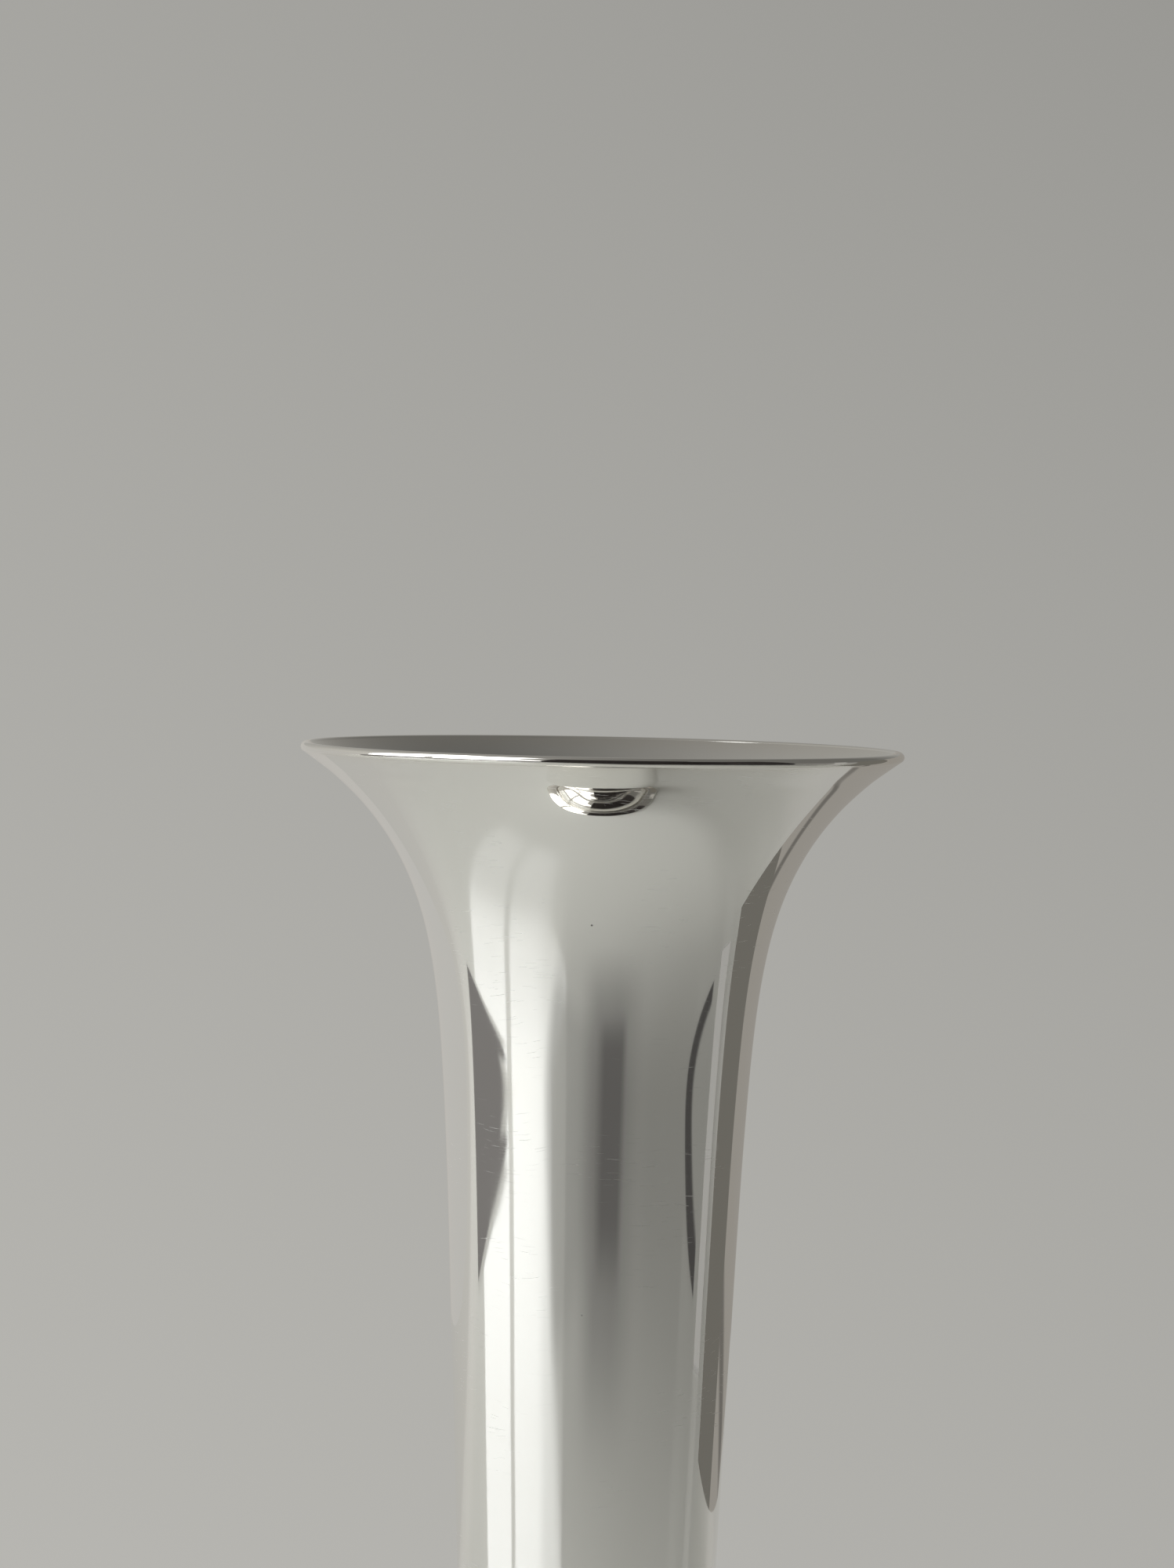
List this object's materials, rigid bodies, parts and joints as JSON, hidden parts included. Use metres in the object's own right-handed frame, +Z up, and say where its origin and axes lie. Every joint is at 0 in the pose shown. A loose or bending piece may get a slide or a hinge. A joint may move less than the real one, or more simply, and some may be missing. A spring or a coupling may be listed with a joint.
{
  "type": "trumpet vase",
  "caption": "Mirror-polished silver trumpet vase: slender tapering tube with a flared, wire-edged mouth, soldered on a low domed and stepped round foot with a weighted, baized base.",
  "frame": {"origin": "centre of the underside of the pad, on the surface the vase stands on", "axes": "+Z up along the axis of the tube; the vase is round, so X and Y are free"},
  "size_m": [0.0731, 0.073, 0.1524],
  "materials": {
    "silver": "mirror-polished silver plate with fine wiping scratches",
    "silver_wire": "polished silver plate, slightly darkened along the solder line",
    "silver_inside": "dull silver plate with faint water marks",
    "filling": "cast composition",
    "plate": "plain sheet",
    "baize": "felt"
  },
  "bodies": {
    "root": {"trumpet_body": "silver", "rim_wire": "silver_wire", "body_bottom": "silver_inside", "collar_ring": "silver_wire", "foot_shell": "silver", "foot_wire": "silver_wire", "foot_filling": "filling", "base_plate": "plate", "baize_pad": "baize"}
  },
  "joints": []
}
